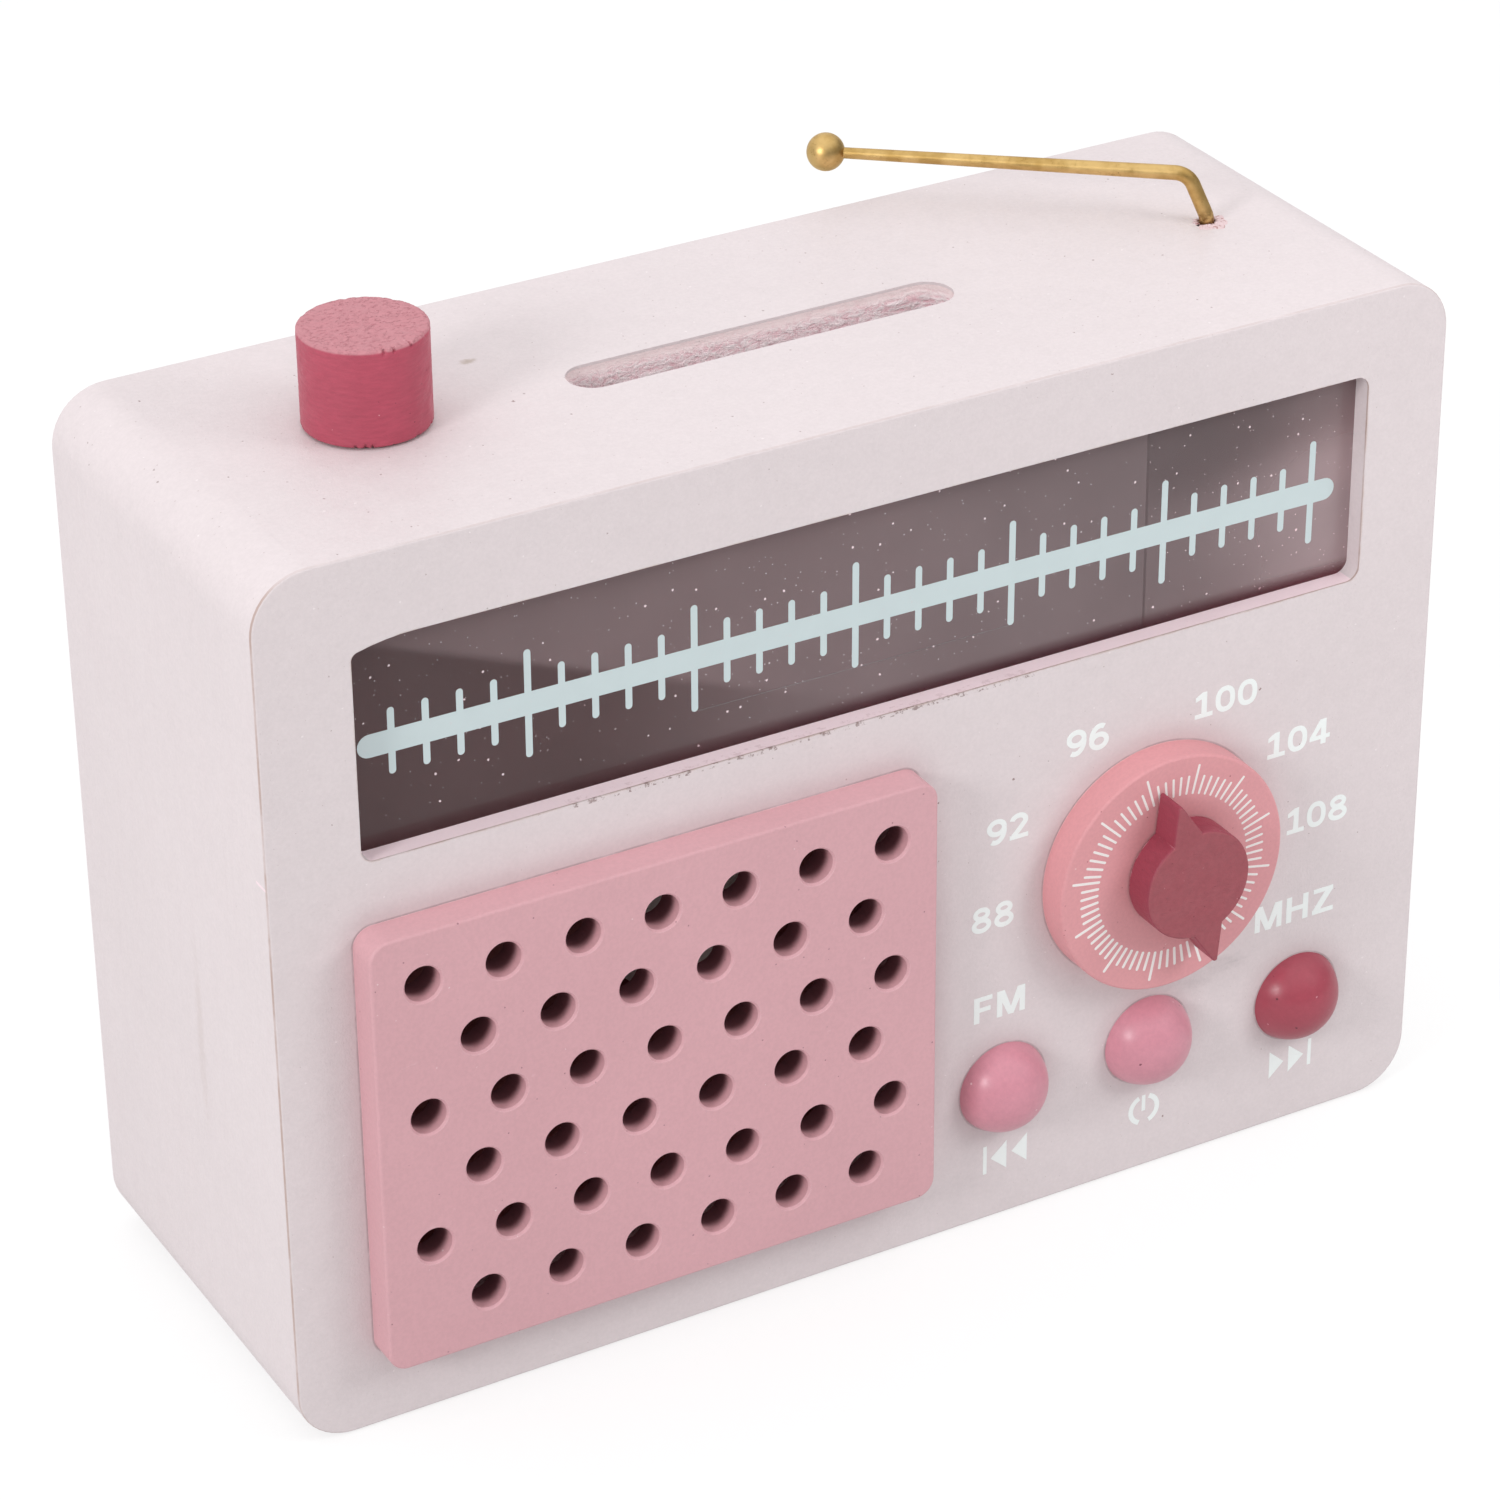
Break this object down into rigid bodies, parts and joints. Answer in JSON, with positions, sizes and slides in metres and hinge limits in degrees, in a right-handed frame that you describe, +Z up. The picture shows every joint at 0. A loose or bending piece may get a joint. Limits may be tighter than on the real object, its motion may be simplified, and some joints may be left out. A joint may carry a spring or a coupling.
{
  "type": "wooden money box",
  "caption": "Wooden money box shaped like a small table radio: coin slot on top, clear scale window, drilled grille, pointer knob on a dial, half-bead buttons and a bent aerial.",
  "frame": {"origin": "centre of the case's flat underside", "axes": "+Z up, -Y towards the front with the window and dial, +X to the viewer's right"},
  "size_m": [0.18, 0.0777, 0.1446],
  "materials": {
    "body_paint": "matt pale pink paint on fibreboard, worn at the edges",
    "grille_paint": "matt dusty pink paint",
    "disc_paint": "matt coral pink paint",
    "light_button_paint": "satin pink paint",
    "raspberry_paint": "satin raspberry paint",
    "raw_wood": "plain dowel and ring, unpainted",
    "clear_pane": "clear plastic sheet",
    "brass": "satin",
    "stopper_plastic": "soft milky plastic"
  },
  "bodies": {
    "case": {"top_board": "body_paint", "bottom_board": "body_paint", "left_side": "body_paint", "right_side": "body_paint", "corner_dowels": "raw_wood", "front_panel": "body_paint", "back_panel": "body_paint", "window_pane": "clear_pane", "speaker_grille": "grille_paint", "dial_disc": "disc_paint", "rewind_button": "light_button_paint", "power_button": "light_button_paint", "forward_button": "raspberry_paint", "button_pegs": "raw_wood"},
    "tuning": {"tuning_knob": "raspberry_paint", "knob_axle": "raw_wood", "knob_retainer": "raw_wood"},
    "volume": {"volume_knob": "raspberry_paint", "volume_axle": "raw_wood", "volume_retainer": "raw_wood"},
    "aerial": {"aerial_rod": "brass", "aerial_ball": "brass"},
    "stopper": {"coin_stopper": "stopper_plastic"}
  },
  "joints": [
    {"name": "tuning_knob_turn", "type": "hinge", "parent": "case", "child": "tuning", "pos_m": [0.0454, -0.036, 0.052], "axis": [0, -1, 0], "continuous": true},
    {"name": "volume_knob_turn", "type": "hinge", "parent": "case", "child": "volume", "pos_m": [-0.0576, 0.0021, 0.131], "axis": [0, 0, 1], "continuous": true},
    {"name": "aerial_swivel", "type": "hinge", "parent": "case", "child": "aerial", "pos_m": [0.071, 0, 0.1307], "axis": [0, 0, 1], "continuous": true},
    {"name": "stopper_pull", "type": "slide", "parent": "case", "child": "stopper", "axis": [0, 1, 0], "range_m": [0, 0.025]}
  ]
}
